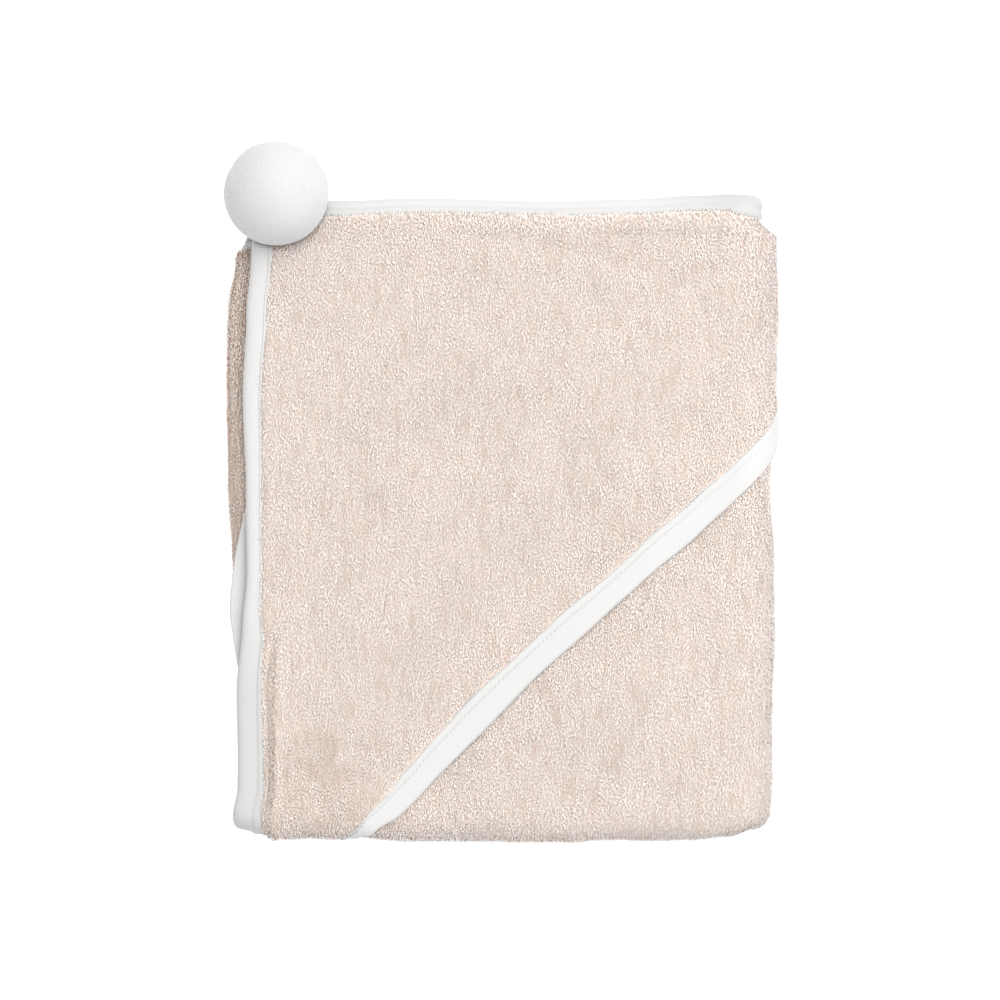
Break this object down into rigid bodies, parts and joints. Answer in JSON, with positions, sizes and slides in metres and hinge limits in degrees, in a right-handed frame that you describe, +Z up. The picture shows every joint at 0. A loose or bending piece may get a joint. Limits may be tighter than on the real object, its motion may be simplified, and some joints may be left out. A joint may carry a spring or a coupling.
{
  "type": "hooded towel",
  "caption": "Folded terry baby towel lying flat, its hood on top, with a bound diagonal edge, white edge bindings and a soft ball at the hood's tip.",
  "frame": {"origin": "middle of the bounding box's base, on the surface that the towel lies on", "axes": "+Z up from the surface, +Y from the front fold to the back edge with the ball, +X from the bound side edge to the rolled fold"},
  "size_m": [0.2324, 0.2942, 0.0531],
  "materials": {
    "terry": "looped cotton terry, beige, matt",
    "binding": "ribbed cotton tape, white, matt",
    "ball": "short-napped fabric, white, matt"
  },
  "bodies": {
    "root": {"main_panel": "terry", "hood_panel": "terry", "inner_layers": "terry", "hood_binding": "binding", "side_edge_binding": "binding", "end_edge_binding": "binding", "second_edge_binding": "binding", "third_edge_binding": "binding", "inner_edge_binding": "binding", "ball": "ball"}
  },
  "joints": []
}
